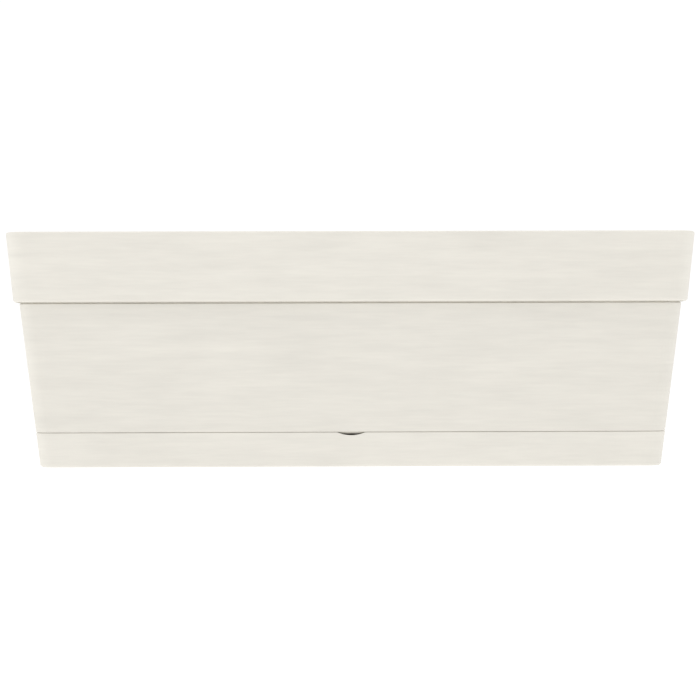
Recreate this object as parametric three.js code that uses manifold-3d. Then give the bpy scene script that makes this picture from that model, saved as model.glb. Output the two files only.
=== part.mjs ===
// Self-watering window box, in millimetres, +Z up.
// A long tapered trough with a deep rim stands in a flush, clip-on water tray. Slotted wicking cups
// hang through the trough's floor into the water and are packed with soil. A capped tube fills the
// tray from above, a float on a rod shows the level in a clear sight tube, and a plug drains it.
// The origin is the centre of the footprint, +X runs along the length and the front faces -Y.
import * as THREE from "three";
import { mergeVertices } from "three/addons/utils/BufferGeometryUtils.js";
import Module from "manifold-3d";

const wasm = await Module();
wasm.setup();

const { degToRad } = THREE.MathUtils;

// ---- Driving dimensions -------------------------------------------------------------------------

// Overall
const RIM_LENGTH = 600; // outside, at the top edge
const RIM_WIDTH = 210;
const HEIGHT = 205;
const RIM_BOTTOM = 144.3; // lower edge of the deep band round the top
const RIM_STEP = 5.1; // how far the band stands out from the wall below it
const SEAM = 30.6; // middle of the joint line between trough and tray
const SEAM_GAP = 0.2;
const RIM_DRAFT = degToRad(5.5);
const BODY_DRAFT = degToRad(6.3);
const CORNER_RADIUS = 13; // upright corners of the trough and the tray, outside
const SMALLEST_CORNER = 4; // upright corners far inside
const SEAT_GAP = 0.2; // between a piece and what it rests on

// Trough
const WALL = 2.4;
const RIM_WALL = 2.6;
const LIP_DEPTH = 6; // the band hangs this far below its inner ledge
const TOP_CHAMFER = 0.9;
const FLOOR_THICKNESS = 2.6;
const SKIRT = { inset: 3.6, wall: 2.2, bottom: 17 }; // runs down inside the tray
const RIB = { depth: 5, thickness: 2, y: 44 };
const LEG = { x: 256, y: 61, radius: 6.5, bore: 4, boreTop: 17.5 };
const DRAIN_SLOT = { length: 18, width: 3, perWall: 8, pitch: 65, y: 64, besideRib: 14 };

// Tray
const TRAY_WALL = 2.4;
const TRAY_FLOOR_TOP = 3.6;
const TRAY_RING = { width: 24, recess: 1.2 }; // it stands on a broad ring round a raised middle
const TRAY_EDGE_RADIUS = 3;
const TRAY_FILLET = 3;
const PEG = { radius: 3.7, top: 15, chamfer: 1, slit: 1.2, slitDepth: 8 };
const BAFFLE = { length: 64, top: 7.6 };
const NOTCH = { width: 25, depth: 2.75 }; // overflow, a shallow arc in the front wall's top edge
const GATE = { width: 28, top: 29.3 }; // the skirt is open behind the notch

// Drain plug in the middle of the tray's floor
const DRAIN = { hole: 6, gasket: 1.5 };
const PLUG = { shank: 5.7, lead: 0.5, head: 10, headHeight: 1.6, shoulder: 0.6, waist: 4 };
const PLUG_KNOB = { neck: 2.8, radius: 4, chamfer: 0.8, height: 1.5, top: 9 };

// Wicking cups
const CUP = { count: 4, spacing: 130, topRadius: 27.5, bottomRadius: 22, depth: 27, wall: 1.8 };
const CUP_FLANGE_RADIUS = 33;
const CUP_SLOT = { count: 8, width: 3, height: 18, sill: 1 };

// Tubes that hang down through the trough's floor
const FOOT_CLEARANCE = 0.6; // above the tray's floor
const HOLE_GAP = 0.6;

// Filling tube
const TUBE = { x: 238, y: 42, radius: 16, wall: 1.8, top: 150, flange: 21, gate: 9, gateHeight: 7 };
const CAP = { overhang: 0.8, thickness: 2.4, tab: 5, overlap: 1 };
const SPIGOT = { gap: 1, wall: 1.6, depth: 3 }; // under the cap, inside the tube's mouth
const HINGE = { x: 20, rise: 1.8, knuckle: 3.2, knuckleWidth: 8.6 };
const EAR = { radius: 3.4, width: 2.6, foot: 12 };
const PIN = { radius: 1.2, bore: 1.3, head: 2.2, headHeight: 0.8 };
const HINGE_SIDE_GAP = 0.4;

// Level indicator
const SLEEVE = { x: 238, y: -42, radius: 10.6, bore: 9, ledge: 6, base: 1.6, flange: 15.5, gate: 5 };
const SOCKET = { radius: 12, bore: 10, seat: 12, top: 28 };
const SIGHT = { radius: 9.7, bore: 8.3, top: 152 };
const SIGHT_CAP = { plug: 5, height: 3, overhang: 0.8 };
const GUIDE = { rise: 2, thickness: 2, hubRadius: 3.6, hubHeight: 5, vent: 1.5, ventAt: 5.6 };
const FLOAT = { radius: 8.2, height: 14, chamfer: 1.5, rodDepth: 8 };
const ROD = { radius: 1.5, top: 119.5 };
const TIP = { radius: 4.6, length: 13, overlap: 6, chamfer: 1.5 };
const FLANGE_THICKNESS = 1.8;

// Facets
const ROUND = 28; // sides of a full circle
const SMALL_ROUND = 16;
const NOTCH_SIDES = 96;
const CORNER_STEPS = 8;
const OUTER_EDGE_STEPS = 3;
const INNER_EDGE_STEPS = 2;

// ---- Derived levels -----------------------------------------------------------------------------

const LENGTH_OVER_WIDTH = RIM_LENGTH - RIM_WIDTH;
const RIM_EDGE = HEIGHT - TOP_CHAMFER;
const LEDGE_UNDER = RIM_BOTTOM + LIP_DEPTH;
const LEDGE_TOP = LEDGE_UNDER + WALL;
const TROUGH_BOTTOM = SEAM + SEAM_GAP / 2;
const TRAY_TOP = SEAM - SEAM_GAP / 2;
const FLOOR_TOP = TROUGH_BOTTOM + FLOOR_THICKNESS;
const SEAT = FLOOR_TOP + SEAT_GAP; // where cups and tubes rest on the trough's floor
const FOOT_DROP = SEAT - TRAY_FLOOR_TOP - FOOT_CLEARANCE;

// Half of the outside length of the band, and of the walls below it, at height z.
function rimHalf(z) {
  return RIM_LENGTH / 2 - (RIM_EDGE - z) * Math.tan(RIM_DRAFT);
}

function wallHalf(z) {
  return rimHalf(RIM_BOTTOM) - RIM_STEP - (RIM_BOTTOM - z) * Math.tan(BODY_DRAFT);
}

// ---- Materials ----------------------------------------------------------------------------------

function plastic(color, roughness) {
  return new THREE.MeshStandardMaterial({ color, roughness, metalness: 0 });
}

const creamPlastic = plastic(0xe8e4da, 0.62);
const darkPlastic = plastic(0x3a3c3b, 0.6);
const greyPlastic = plastic(0xb9b8b2, 0.5);
const clearPlastic = plastic(0xdfe8ea, 0.08);
clearPlastic.transparent = true;
clearPlastic.opacity = 0.35;
const whiteFoam = plastic(0xf2f1ec, 0.85);
const whitePlastic = plastic(0xe9e9e6, 0.35);
const redPlastic = plastic(0xc4271d, 0.4);
const blackRubber = plastic(0x2a2a2a, 0.9);
const steel = new THREE.MeshStandardMaterial({ color: 0xb8babd, roughness: 0.3, metalness: 1 });

// ---- Solids -------------------------------------------------------------------------------------

function solid(geometry) {
  const bare = geometry.clone();
  bare.deleteAttribute("normal");
  bare.deleteAttribute("uv");
  const merged = mergeVertices(bare, 1e-4);
  return new wasm.Manifold(
    new wasm.Mesh({
      numProp: 3,
      vertProperties: merged.attributes.position.array,
      triVerts: new Uint32Array(merged.index.array),
    }),
  );
}

function geometryOf(made) {
  const mesh = made.getMesh();
  const geometry = new THREE.BufferGeometry();
  geometry.setAttribute("position", new THREE.BufferAttribute(mesh.vertProperties, 3));
  geometry.setIndex(new THREE.BufferAttribute(mesh.triVerts, 1));
  geometry.computeVertexNormals();
  return geometry;
}

function join(first, ...others) {
  return others.reduce((all, next) => all.add(next), first);
}

function cut(body, ...tools) {
  return tools.reduce((left, tool) => left.subtract(tool), body);
}

// A block centred on (x, y) from z = low to z = high, turned about the Z axis.
function block(length, width, low, high, x = 0, y = 0, turn = 0) {
  const geometry = new THREE.BoxGeometry(length, width, high - low);
  return solid(geometry.translate(x, y, (low + high) / 2).rotateZ(turn));
}

// A cylinder or cone frustum standing on z = low.
function post(radius, low, high, x = 0, y = 0, sides = ROUND, topRadius = radius) {
  const geometry = new THREE.CylinderGeometry(topRadius, radius, high - low, sides);
  return solid(geometry.rotateX(Math.PI / 2).translate(x, y, (low + high) / 2));
}

// A cylinder lying along Y through (x, z), between two values of y.
function crossPin(radius, from, to, x, z, sides = SMALL_ROUND) {
  const geometry = new THREE.CylinderGeometry(radius, radius, to - from, sides);
  return solid(geometry.translate(x, (from + to) / 2, z));
}

// A solid of revolution about Z, from [radius, z] points anticlockwise in the r-z plane.
function turned(profile, sides = ROUND) {
  const points = profile.map(([r, z]) => new THREE.Vector2(r, z));
  return solid(new THREE.LatheGeometry(points, sides).rotateX(Math.PI / 2));
}

// A ring of revolution with a rectangular section.
function turnedRing(inner, outer, low, high, sides = ROUND) {
  return turned([[inner, low], [outer, low], [outer, high], [inner, high], [inner, low]], sides);
}

// A closed skin through rings of equal length, with a flat cap on the first and on the last.
function loft(rings) {
  const count = rings[0].length;
  const index = [];
  for (let level = 0; level + 1 < rings.length; level += 1) {
    for (let j = 0; j < count; j += 1) {
      const here = level * count + j;
      const next = level * count + ((j + 1) % count);
      index.push(here, next, next + count, here, next + count, here + count);
    }
  }
  const last = (rings.length - 1) * count;
  for (let j = 1; j + 1 < count; j += 1) {
    index.push(0, j + 1, j, last, last + j, last + j + 1);
  }
  const positions = rings.flat().flatMap((point) => [point.x, point.y, point.z]);
  const geometry = new THREE.BufferGeometry();
  geometry.setAttribute("position", new THREE.Float32BufferAttribute(positions, 3));
  geometry.setIndex(index);
  return solid(geometry);
}

// ---- Outline shared by the trough and the tray -----------------------------------------------------

// A rounded rectangle at height z, anticlockwise from above. Its width follows from its length.
function outline(halfLength, radius, z) {
  const halfWidth = halfLength - LENGTH_OVER_WIDTH / 2;
  const points = [];
  for (let corner = 0; corner < 4; corner += 1) {
    const sx = corner === 0 || corner === 3 ? 1 : -1;
    const sy = corner < 2 ? 1 : -1;
    for (let step = 0; step <= CORNER_STEPS; step += 1) {
      const angle = ((corner + step / CORNER_STEPS) * Math.PI) / 2;
      const x = sx * (halfLength - radius) + radius * Math.cos(angle);
      const y = sy * (halfWidth - radius) + radius * Math.sin(angle);
      points.push(new THREE.Vector3(x, y, z));
    }
  }
  return points;
}

function rimRing(z, inset) {
  return outline(rimHalf(z) - inset, CORNER_RADIUS + RIM_STEP - inset, z);
}

// The trough's and the tray's walls lie on one slope, so that they are flush.
function wallRing(z, inset) {
  return outline(wallHalf(z) - inset, Math.max(CORNER_RADIUS - inset, SMALLEST_CORNER), z);
}

function quarterArc(steps, ringAt) {
  return Array.from({ length: steps + 1 }, (_, i) => ringAt(((i / steps) * Math.PI) / 2));
}

// ---- Layout -------------------------------------------------------------------------------------

// A number of places along X, evenly spaced about the middle.
function spread(count, pitch) {
  return Array.from({ length: count }, (_, i) => (i - (count - 1) / 2) * pitch);
}

const cupXs = spread(CUP.count, CUP.spacing);

const legSpots = [-LEG.x, -CUP.spacing, CUP.spacing, LEG.x].flatMap((x) => [
  [x, -LEG.y],
  [x, LEG.y],
]);

// Drain slots lie along both long walls and between the cups.
const drainSpots = [
  ...spread(DRAIN_SLOT.perWall, DRAIN_SLOT.pitch).flatMap((x) => [
    [x, -DRAIN_SLOT.y],
    [x, DRAIN_SLOT.y],
  ]),
  ...spread(CUP.count - 1, CUP.spacing).flatMap((x) => [
    [x - DRAIN_SLOT.besideRib, 0],
    [x + DRAIN_SLOT.besideRib, 0],
  ]),
];

// ---- Trough -------------------------------------------------------------------------------------

function troughShell() {
  return loft([
    wallRing(TROUGH_BOTTOM, SKIRT.inset + SKIRT.wall),
    wallRing(SKIRT.bottom, SKIRT.inset + SKIRT.wall),
    wallRing(SKIRT.bottom, SKIRT.inset),
    wallRing(TROUGH_BOTTOM, SKIRT.inset),
    wallRing(TROUGH_BOTTOM, 0),
    wallRing(LEDGE_UNDER, 0),
    rimRing(LEDGE_UNDER, RIM_WALL),
    rimRing(RIM_BOTTOM, RIM_WALL),
    rimRing(RIM_BOTTOM, 0),
    rimRing(RIM_EDGE, 0),
    rimRing(HEIGHT, TOP_CHAMFER),
    rimRing(HEIGHT, RIM_WALL - TOP_CHAMFER),
    rimRing(RIM_EDGE, RIM_WALL),
    rimRing(LEDGE_TOP, RIM_WALL),
    wallRing(LEDGE_TOP, WALL),
    wallRing(FLOOR_TOP, WALL),
  ]);
}

// Ribs under the floor end inside the skirt's wall.
function floorRibs() {
  const low = TROUGH_BOTTOM - RIB.depth;
  const high = TROUGH_BOTTOM + FLOOR_THICKNESS / 2;
  const length = 2 * (wallHalf(low) - SKIRT.inset - SKIRT.wall / 2);
  const width = length - LENGTH_OVER_WIDTH;
  const lengthways = [-RIB.y, RIB.y].map((y) => block(length, RIB.thickness, low, high, 0, y));
  const across = [-CUP.spacing, CUP.spacing].map((x) =>
    block(RIB.thickness, width, low, high, x, 0),
  );
  return [...lengthways, ...across];
}

function leg([x, y]) {
  const foot = TRAY_FLOOR_TOP + SEAT_GAP;
  return post(LEG.radius, foot, TROUGH_BOTTOM + FLOOR_THICKNESS / 2, x, y, SMALL_ROUND);
}

function legBore([x, y]) {
  return post(LEG.bore, 0, LEG.boreTop, x, y, SMALL_ROUND);
}

function drainSlot([x, y]) {
  const radius = DRAIN_SLOT.width / 2;
  const straight = DRAIN_SLOT.length / 2 - radius;
  const shape = new THREE.Shape();
  shape.absarc(straight, 0, radius, -Math.PI / 2, Math.PI / 2);
  shape.absarc(-straight, 0, radius, Math.PI / 2, (3 * Math.PI) / 2);
  const options = { depth: 2 * FLOOR_THICKNESS, bevelEnabled: false, curveSegments: 3 };
  const geometry = new THREE.ExtrudeGeometry(shape, options);
  return solid(geometry.translate(x, y, TROUGH_BOTTOM - FLOOR_THICKNESS / 2));
}

function floorHole(radius, x, y) {
  return post(radius + HOLE_GAP, TROUGH_BOTTOM - RIB.depth - 1, FLOOR_TOP + 1, x, y);
}

// Water inside the tray reaches the notch through a gate in the front of the skirt.
function overflowGate() {
  const y = -(wallHalf(SEAM) - LENGTH_OVER_WIDTH / 2 - SKIRT.inset - SKIRT.wall / 2);
  return block(GATE.width, 4 * SKIRT.wall, SKIRT.bottom - 1, GATE.top, 0, y);
}

function planterBox() {
  const body = join(troughShell(), ...floorRibs(), ...legSpots.map(leg));
  return cut(
    body,
    ...cupXs.map((x) => floorHole(CUP.topRadius, x, 0)),
    floorHole(TUBE.radius, TUBE.x, TUBE.y),
    floorHole(SLEEVE.radius, SLEEVE.x, SLEEVE.y),
    ...drainSpots.map(drainSlot),
    ...legSpots.map(legBore),
    overflowGate(),
  );
}

// ---- Tray ---------------------------------------------------------------------------------------

function trayShell() {
  const outerEdge = quarterArc(OUTER_EDGE_STEPS, (a) =>
    wallRing(TRAY_EDGE_RADIUS * (1 - Math.cos(a)), TRAY_EDGE_RADIUS * (1 - Math.sin(a))),
  );
  const innerEdge = quarterArc(INNER_EDGE_STEPS, (a) =>
    wallRing(
      TRAY_FLOOR_TOP + TRAY_FILLET * (1 - Math.sin(a)),
      TRAY_WALL + TRAY_FILLET * (1 - Math.cos(a)),
    ),
  );
  return loft([
    wallRing(TRAY_RING.recess, TRAY_RING.width),
    wallRing(0, TRAY_RING.width),
    ...outerEdge,
    wallRing(TRAY_TOP, 0),
    wallRing(TRAY_TOP, TRAY_WALL),
    ...innerEdge,
  ]);
}

// A split peg grips the bore of each of the trough's legs.
function trayPeg([x, y]) {
  const { radius, top, chamfer, slit, slitDepth } = PEG;
  const shaft = post(radius, TRAY_FLOOR_TOP - 1, top - chamfer, x, y, SMALL_ROUND);
  const nose = post(radius, top - chamfer, top, x, y, SMALL_ROUND, radius - chamfer);
  return cut(join(shaft, nose), block(slit, 3 * radius, top - slitDepth, top + 1, x, y));
}

function notchCutter() {
  const radius = (NOTCH.width ** 2 / 4 + NOTCH.depth ** 2) / (2 * NOTCH.depth);
  const front = -(wallHalf(TRAY_TOP) - LENGTH_OVER_WIDTH / 2);
  const reach = 4 * TRAY_WALL;
  const centreZ = TRAY_TOP - NOTCH.depth + radius;
  return crossPin(radius, front - reach, front + reach, 0, centreZ, NOTCH_SIDES);
}

function reservoirTray() {
  const baffles = [-CUP.spacing, CUP.spacing].map((x) =>
    block(RIB.thickness, BAFFLE.length, TRAY_FLOOR_TOP - 1, BAFFLE.top, x, 0),
  );
  const body = join(trayShell(), ...legSpots.map(trayPeg), ...baffles);
  const drainHole = post(DRAIN.hole, -1, TRAY_FLOOR_TOP + 1, 0, 0, SMALL_ROUND);
  return cut(body, notchCutter(), drainHole);
}

// ---- Drain plug, with its origin on the tray's floor ----------------------------------------------

function drainPlug() {
  const { shank, lead, head, headHeight, shoulder, waist } = PLUG;
  const { neck, radius, chamfer, height, top } = PLUG_KNOB;
  const seat = DRAIN.gasket + 2 * SEAT_GAP;
  const tip = TRAY_RING.recess + SEAT_GAP - TRAY_FLOOR_TOP;
  const profile = [
    [0, tip],
    [shank - lead, tip],
    [shank, tip + 2 * lead],
    [shank, seat],
    [head, seat],
    [head, seat + headHeight],
    [neck + shoulder, seat + headHeight + shoulder],
    [neck, seat + waist],
    [radius, top - height],
    [radius - chamfer, top],
    [0, top],
  ];
  return turned(profile, SMALL_ROUND);
}

function plugGasket() {
  const [inner, outer] = [DRAIN.hole + SEAT_GAP, PLUG.head - PLUG.lead];
  return turnedRing(inner, outer, SEAT_GAP, SEAT_GAP + DRAIN.gasket, SMALL_ROUND);
}

// ---- Wicking cup, with its origin on its seat ------------------------------------------------------

function wickingCup() {
  const { topRadius, bottomRadius, depth, wall } = CUP;
  const cup = turned([
    [0, -depth],
    [bottomRadius, -depth],
    [topRadius, 0],
    [CUP_FLANGE_RADIUS, 0],
    [CUP_FLANGE_RADIUS, FLANGE_THICKNESS],
    [topRadius - wall, FLANGE_THICKNESS],
    [bottomRadius - wall, wall - depth],
    [0, wall - depth],
  ]);
  const slotLow = wall - depth - CUP_SLOT.sill;
  const slots = Array.from({ length: CUP_SLOT.count }, (_, i) => {
    const turn = ((i + 0.5) / CUP_SLOT.count) * 2 * Math.PI;
    const slotHigh = slotLow + CUP_SLOT.height;
    return block(bottomRadius, CUP_SLOT.width, slotLow, slotHigh, bottomRadius, 0, turn);
  });
  return cut(cup, ...slots);
}

// ---- Filling tube, with its origin on its seat -----------------------------------------------------

const EAR_Y = HINGE.knuckleWidth / 2 + HINGE_SIDE_GAP; // inner face of each ear
const HINGE_Z = TUBE.top + HINGE.rise;

// An upright plate that carries the hinge pin behind the tube's mouth.
function hingeEar(side) {
  const inside = TUBE.radius - TUBE.wall / 2;
  const shape = new THREE.Shape();
  shape.moveTo(inside, TUBE.top - EAR.foot);
  shape.absarc(HINGE.x, HINGE_Z, EAR.radius, -Math.PI / 4, Math.PI);
  shape.lineTo(HINGE.x - EAR.radius, TUBE.top);
  shape.lineTo(inside, TUBE.top);
  const options = { depth: EAR.width, bevelEnabled: false, curveSegments: 8 };
  const plate = new THREE.ExtrudeGeometry(shape, options).rotateX(Math.PI / 2);
  return solid(plate.translate(0, side > 0 ? EAR_Y + EAR.width : -EAR_Y, 0));
}

function fillTube() {
  const { radius, wall, top, flange, gate, gateHeight } = TUBE;
  const tube = turned([
    [radius - wall, -FOOT_DROP],
    [radius, -FOOT_DROP],
    [radius, 0],
    [flange, 0],
    [flange, FLANGE_THICKNESS],
    [radius, FLANGE_THICKNESS],
    [radius, top],
    [radius - wall, top],
    [radius - wall, -FOOT_DROP],
  ]);
  const waterGates = [0, Math.PI / 2].map((turn) =>
    block(3 * radius, gate, -FOOT_DROP - 1, gateHeight - FOOT_DROP, 0, 0, turn),
  );
  const pinBore = crossPin(PIN.bore, -radius, radius, HINGE.x, HINGE_Z);
  return cut(join(tube, hingeEar(-1), hingeEar(1)), ...waterGates, pinBore);
}

// The cap's origin is its hinge axis, and its disc lies towards -X.
function fillCap() {
  const under = SEAT_GAP - HINGE.rise;
  const rimRadius = TUBE.radius + CAP.overhang;
  const disc = turned([
    [0, under],
    [rimRadius, under],
    [rimRadius, under + CAP.thickness - CAP.overhang],
    [TUBE.radius, under + CAP.thickness],
    [0, under + CAP.thickness],
  ]);
  const spigotRadius = TUBE.radius - TUBE.wall - SPIGOT.gap;
  const spigot = turnedRing(
    spigotRadius - SPIGOT.wall,
    spigotRadius,
    under - SPIGOT.depth,
    under + CAP.thickness / 2,
  );
  const half = HINGE.knuckleWidth / 2;
  const knuckle = crossPin(HINGE.knuckle, -half, half, 0, 0);
  const armLength = HINGE.x - TUBE.radius + 2 * CAP.overlap;
  const arm = block(armLength, 2 * half, under, -under, -HINGE.knuckle, 0);
  const tabX = -HINGE.x - rimRadius - CAP.tab / 2 + CAP.overlap;
  const tab = block(CAP.tab, 3 * CAP.tab, under, under + CAP.thickness - CAP.overhang, tabX, 0);
  const lid = join(disc, spigot).translate([-HINGE.x, 0, 0]);
  return cut(join(lid, knuckle, arm, tab), crossPin(PIN.bore, -half - 1, half + 1, 0, 0));
}

// The pin's head stands outside one ear and its plain end outside the other.
function capHingePin() {
  const end = EAR_Y + EAR.width + SEAT_GAP;
  const shaft = crossPin(PIN.radius, -end - SEAT_GAP, end + PIN.headHeight / 2, 0, 0);
  return join(shaft, crossPin(PIN.head, end, end + PIN.headHeight, 0, 0));
}

// ---- Level indicator, with its origin on its seat --------------------------------------------------

const FLOAT_BOTTOM = SLEEVE.base + SEAT_GAP - FOOT_DROP;
const FLOAT_TOP = FLOAT_BOTTOM + FLOAT.height;

// The sleeve holds the float below the floor and the sight tube's foot above it.
function indicatorSleeve() {
  const { radius, bore, ledge, base, flange, gate } = SLEEVE;
  const sleeve = turned([
    [ledge, -FOOT_DROP],
    [radius, -FOOT_DROP],
    [radius, 0],
    [flange, 0],
    [flange, FLANGE_THICKNESS],
    [SOCKET.radius, FLANGE_THICKNESS],
    [SOCKET.radius, SOCKET.top],
    [SOCKET.bore, SOCKET.top],
    [SOCKET.bore, SOCKET.seat],
    [bore, SOCKET.seat],
    [bore, base - FOOT_DROP],
    [ledge, base - FOOT_DROP],
    [ledge, -FOOT_DROP],
  ]);
  const gateLow = base - FOOT_DROP;
  const gates = [0, Math.PI / 2].map((turn) =>
    block(3 * radius, gate, gateLow, gateLow + FLOAT.height, 0, 0, turn),
  );
  return cut(sleeve, ...gates);
}

function sightTube() {
  return turnedRing(SIGHT.bore, SIGHT.radius, SOCKET.seat + SEAT_GAP, SIGHT.top);
}

function indicatorCap() {
  const seat = SIGHT.top + SEAT_GAP;
  const plugRadius = SIGHT.bore - SEAT_GAP;
  return turned([
    [0, seat - SIGHT_CAP.plug],
    [plugRadius, seat - SIGHT_CAP.plug],
    [plugRadius, seat],
    [SIGHT.radius + SIGHT_CAP.overhang, seat],
    [SIGHT.radius + SIGHT_CAP.overhang, seat + SIGHT_CAP.height / 2],
    [SIGHT.radius - SIGHT_CAP.overhang, seat + SIGHT_CAP.height],
    [0, seat + SIGHT_CAP.height],
  ]);
}

// A vented disc near the foot of the sight tube keeps the rod upright.
function rodGuide() {
  const low = SOCKET.seat + GUIDE.rise;
  const bore = ROD.radius + SEAT_GAP;
  const disc = turned([
    [bore, low],
    [SIGHT.bore - SEAT_GAP, low],
    [SIGHT.bore - SEAT_GAP, low + GUIDE.thickness],
    [GUIDE.hubRadius, low + GUIDE.thickness],
    [GUIDE.hubRadius, low + GUIDE.hubHeight],
    [bore, low + GUIDE.hubHeight],
    [bore, low],
  ]);
  const vents = [0, 1, 2].map((i) => {
    const angle = (i / 3) * 2 * Math.PI;
    const [x, y] = [GUIDE.ventAt * Math.cos(angle), GUIDE.ventAt * Math.sin(angle)];
    return post(GUIDE.vent, low - 1, low + GUIDE.thickness + 1, x, y, SMALL_ROUND / 2);
  });
  return cut(disc, ...vents);
}

function levelFloat() {
  const { radius, chamfer, rodDepth } = FLOAT;
  const body = turned([
    [0, FLOAT_BOTTOM],
    [radius - chamfer, FLOAT_BOTTOM],
    [radius, FLOAT_BOTTOM + chamfer],
    [radius, FLOAT_TOP - chamfer],
    [radius - chamfer, FLOAT_TOP],
    [0, FLOAT_TOP],
  ]);
  const rodHole = post(ROD.radius + SEAT_GAP, FLOAT_TOP - rodDepth, FLOAT_TOP + 1, 0, 0, SMALL_ROUND);
  return cut(body, rodHole);
}

function indicatorRod() {
  return post(ROD.radius, FLOAT_TOP - FLOAT.rodDepth + SEAT_GAP, ROD.top, 0, 0, SMALL_ROUND);
}

function rodTip() {
  const low = ROD.top - TIP.overlap;
  const high = low + TIP.length;
  const profile = [
    [0, low],
    [TIP.radius, low],
    [TIP.radius, high - TIP.chamfer],
    [TIP.radius - TIP.chamfer, high],
    [0, high],
  ];
  const rodHole = post(ROD.radius + SEAT_GAP, low - 1, ROD.top + SEAT_GAP, 0, 0, SMALL_ROUND);
  return cut(turned(profile, SMALL_ROUND), rodHole);
}

// ---- Assembly -----------------------------------------------------------------------------------

function addPiece(parent, name, made, material) {
  const mesh = new THREE.Mesh(geometryOf(made), material);
  mesh.name = name;
  parent.add(mesh);
}

function addGroup(parent, x, y, z) {
  const group = new THREE.Group();
  group.position.set(x, y, z);
  parent.add(group);
  return group;
}

const planter = new THREE.Group();
addPiece(planter, "reservoir_tray", reservoirTray(), creamPlastic);
addPiece(planter, "planter_box", planterBox(), creamPlastic);

const drain = addGroup(planter, 0, 0, TRAY_FLOOR_TOP);
addPiece(drain, "drain_plug", drainPlug(), darkPlastic);
addPiece(drain, "plug_gasket", plugGasket(), blackRubber);

cupXs.forEach((x, i) => {
  const place = addGroup(planter, x, 0, SEAT);
  addPiece(place, `wicking_cup_${i + 1}`, wickingCup(), darkPlastic);
});

const filling = addGroup(planter, TUBE.x, TUBE.y, SEAT);
addPiece(filling, "fill_tube", fillTube(), greyPlastic);
const hinge = addGroup(filling, HINGE.x, 0, HINGE_Z);
addPiece(hinge, "fill_cap", fillCap(), greyPlastic);
addPiece(hinge, "cap_hinge_pin", capHingePin(), steel);

const gauge = addGroup(planter, SLEEVE.x, SLEEVE.y, SEAT);
addPiece(gauge, "indicator_sleeve", indicatorSleeve(), greyPlastic);
addPiece(gauge, "sight_tube", sightTube(), clearPlastic);
addPiece(gauge, "indicator_cap", indicatorCap(), greyPlastic);
addPiece(gauge, "rod_guide", rodGuide(), greyPlastic);
addPiece(gauge, "level_float", levelFloat(), whiteFoam);
addPiece(gauge, "indicator_rod", indicatorRod(), whitePlastic);
addPiece(gauge, "rod_tip", rodTip(), redPlastic);

export default planter;
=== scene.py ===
import math
from collections import namedtuple

import bmesh
import bpy
from mathutils import Matrix, Vector


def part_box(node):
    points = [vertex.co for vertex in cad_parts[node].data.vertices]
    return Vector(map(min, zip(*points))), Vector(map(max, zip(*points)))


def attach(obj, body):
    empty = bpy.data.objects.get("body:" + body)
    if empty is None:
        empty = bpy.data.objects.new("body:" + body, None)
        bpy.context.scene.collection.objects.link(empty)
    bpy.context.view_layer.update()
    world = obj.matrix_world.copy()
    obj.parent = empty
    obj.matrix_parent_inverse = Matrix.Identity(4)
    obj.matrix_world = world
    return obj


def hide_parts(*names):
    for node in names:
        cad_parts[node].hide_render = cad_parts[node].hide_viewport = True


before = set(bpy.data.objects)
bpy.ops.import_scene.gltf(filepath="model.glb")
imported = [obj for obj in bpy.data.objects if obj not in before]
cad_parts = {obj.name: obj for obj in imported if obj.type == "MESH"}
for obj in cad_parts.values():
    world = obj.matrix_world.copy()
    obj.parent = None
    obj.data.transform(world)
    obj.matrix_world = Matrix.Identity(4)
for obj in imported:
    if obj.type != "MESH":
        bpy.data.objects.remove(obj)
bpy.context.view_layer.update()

# The looks of a self-watering window box: a deep-rimmed trough on a flush water tray, with wicking
# cups, a capped filling tube and a float level indicator inside. Everything is in metres.

MM = 0.001

# ---- Sizes read from the frame ------------------------------------------------------------------

Upright = namedtuple("Upright", "x y radius low high")


def upright(node):
    """Axis, outer radius, bottom and top of a node that is round about an upright axis."""
    low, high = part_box(node)
    radius = (high[1] - low[1]) / 2
    return Upright(low[0] + radius, low[1] + radius, radius, low[2], high[2])


trough_low, trough_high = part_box("planter_box")
tray_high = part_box("reservoir_tray")[1]
pin_low, pin_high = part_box("cap_hinge_pin")
cups = [upright(name) for name in sorted(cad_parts) if name.startswith("wicking_cup")]
tube = upright("fill_tube")
sleeve = upright("indicator_sleeve")
sight = upright("sight_tube")
rod = upright("indicator_rod")

HALF_LENGTH, HALF_WIDTH, HEIGHT = trough_high
LENGTH_OVER_WIDTH = HALF_LENGTH - HALF_WIDTH
LEG_FOOT = trough_low[2]
TRAY_TOP = tray_high[2]
HINGE_X = (pin_low[0] + pin_high[0]) / 2
HINGE_Z = (pin_low[2] + pin_high[2]) / 2

# ---- Sizes that the frame's boxes do not give ----------------------------------------------------

# Walls, band and ledge of the trough
BAND_HEIGHT = 60.7 * MM
RIM_STEP = 5.1 * MM
RIM_SLOPE = math.tan(math.radians(5.5))
TOP_CHAMFER = 0.9 * MM
CORNER_RADIUS = 13 * MM
SMALLEST_RADIUS = 4 * MM
WALL = 2.4 * MM
RIM_WALL = 2.6 * MM
LIP_DEPTH = 6 * MM
FLOOR_THICKNESS = 2.6 * MM
TOP_ROUND = 2 * MM
BAND_EDGE = 2.4 * MM
GROOVE_HEIGHT = 1.4 * MM  # a shadow line in the wall, close under the band
GROOVE_DEPTH = 1.2 * MM
SEAM_ROUND = 0.9 * MM  # on both sides of the joint line between trough and tray
FLOOR_MARGIN = 8 * MM  # floors are laid out as a ring of this width round a flat middle

# Clearances and flanges of what hangs through the trough's floor
FLANGE = 1.8 * MM
SEAT_GAP = 0.2 * MM
HOLE_GAP = 0.6 * MM

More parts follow.
